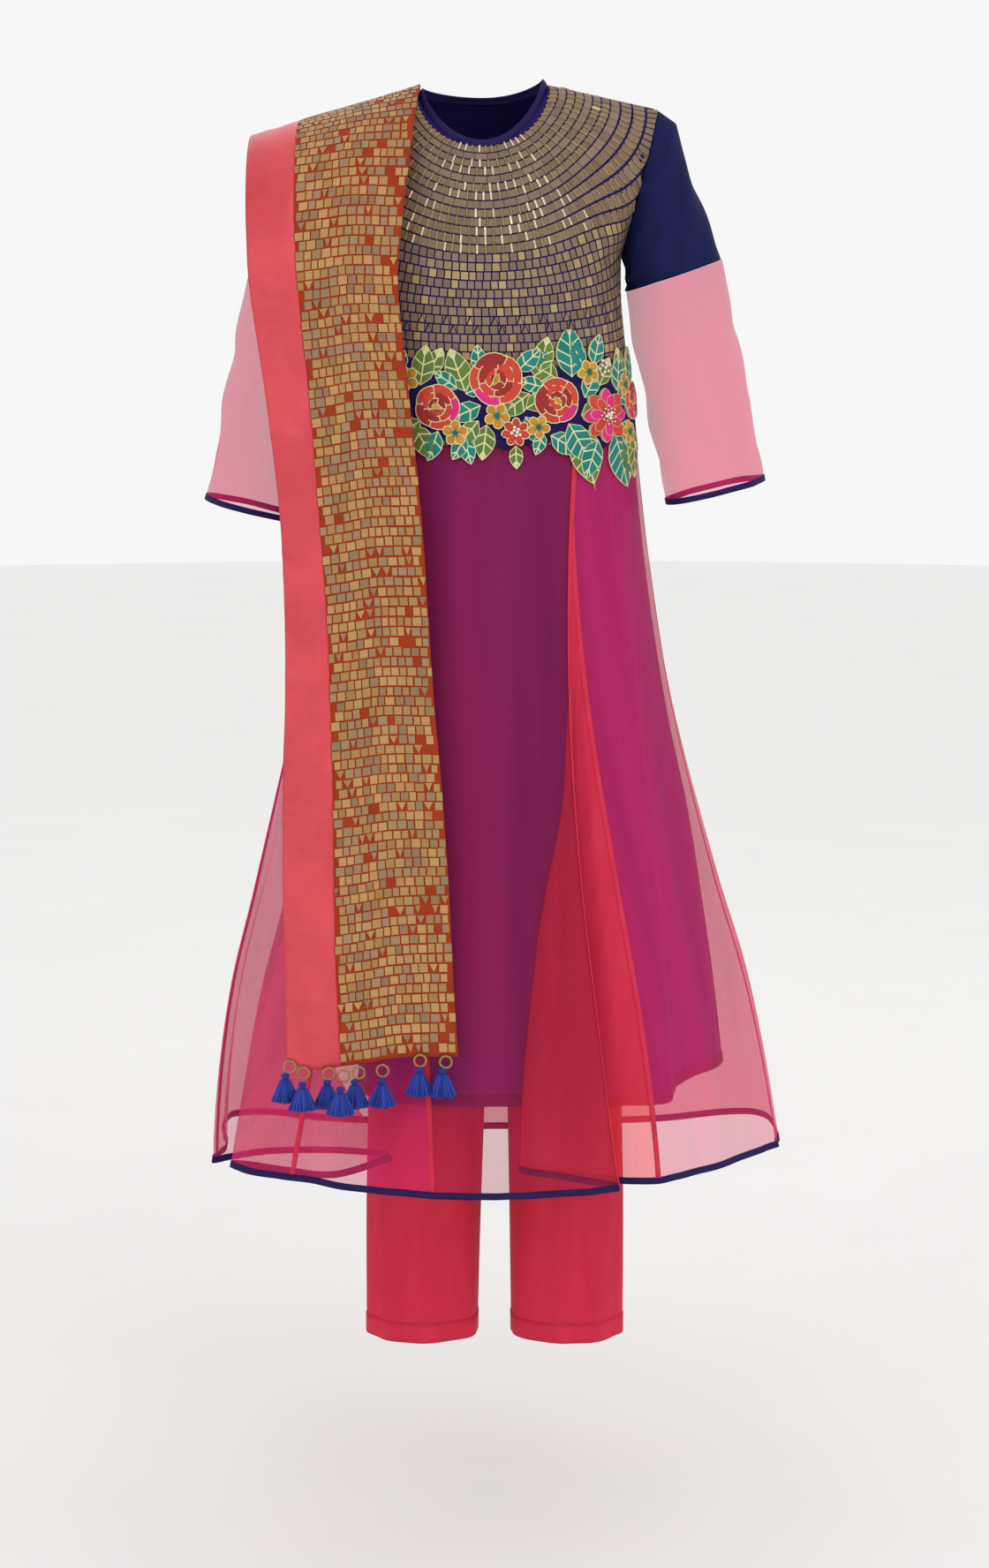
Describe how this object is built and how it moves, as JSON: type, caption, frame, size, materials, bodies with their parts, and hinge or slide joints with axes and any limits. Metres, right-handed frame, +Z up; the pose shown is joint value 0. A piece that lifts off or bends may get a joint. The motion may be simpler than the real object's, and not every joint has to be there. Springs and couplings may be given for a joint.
{
  "type": "salwar kameez suit with dupatta, worn form",
  "caption": "South Asian three-piece suit in its worn form: flared sheer kameez with mosaic yoke and flower band, straight trousers and folded tasselled dupatta.",
  "frame": {"origin": "middle of the line of the shoulders, where the wearer's shoulders hold the suit up", "axes": "+Z up, the wearer faces -Y, +X is the wearer's left"},
  "size_m": [0.6304, 0.4844, 1.3722],
  "materials": {
    "mosaic_cloth": "tile jacquard with bead and metal thread embroidery",
    "navy_cotton": "plain weave, matt with a slight sheen",
    "flower_embroidery": "thread and bead embroidery",
    "organza": "sheer crisp plain weave",
    "lining_silk": "thin plain silk",
    "crimson_cotton": "plain weave cotton silk",
    "brocade": "woven tile pattern with gold thread",
    "satin": "satin",
    "brass_ring": "thread wrapped ring",
    "tassel_thread": "loose cotton thread"
  },
  "bodies": {
    "root": {"yoke_front": "mosaic_cloth", "yoke_back": "mosaic_cloth", "neck_binding": "navy_cotton", "flower_band": "flower_embroidery", "sleeve_upper_left": "navy_cotton", "sleeve_upper_right": "navy_cotton", "sleeve_lower_left": "organza", "sleeve_lower_right": "organza", "cuff_binding_left": "navy_cotton", "cuff_binding_right": "navy_cotton", "lining_front": "lining_silk", "lining_back": "lining_silk", "skirt_front_centre": "organza", "skirt_side_left": "organza", "skirt_side_right": "organza", "godet_left": "organza", "godet_right": "organza", "skirt_back": "organza", "hem_binding": "navy_cotton", "trouser_leg_left": "crimson_cotton", "trouser_leg_right": "crimson_cotton", "trouser_waistband": "crimson_cotton", "dupatta_mosaic": "brocade", "dupatta_border": "satin", "dupatta_underlayers": "brocade", "ring_front_1": "brass_ring", "ring_front_2": "brass_ring", "ring_front_3": "brass_ring", "ring_front_4": "brass_ring", "ring_front_5": "brass_ring", "ring_front_6": "brass_ring", "ring_front_7": "brass_ring", "ring_front_8": "brass_ring", "ring_back_1": "brass_ring", "ring_back_2": "brass_ring", "ring_back_3": "brass_ring", "ring_back_4": "brass_ring", "ring_back_5": "brass_ring", "ring_back_6": "brass_ring", "ring_back_7": "brass_ring", "ring_back_8": "brass_ring", "tassel_front_1": "tassel_thread", "tassel_front_2": "tassel_thread", "tassel_front_3": "tassel_thread", "tassel_front_4": "tassel_thread", "tassel_front_5": "tassel_thread", "tassel_front_6": "tassel_thread", "tassel_front_7": "tassel_thread", "tassel_front_8": "tassel_thread", "tassel_back_1": "tassel_thread", "tassel_back_2": "tassel_thread", "tassel_back_3": "tassel_thread", "tassel_back_4": "tassel_thread", "tassel_back_5": "tassel_thread", "tassel_back_6": "tassel_thread", "tassel_back_7": "tassel_thread", "tassel_back_8": "tassel_thread"}
  },
  "joints": []
}
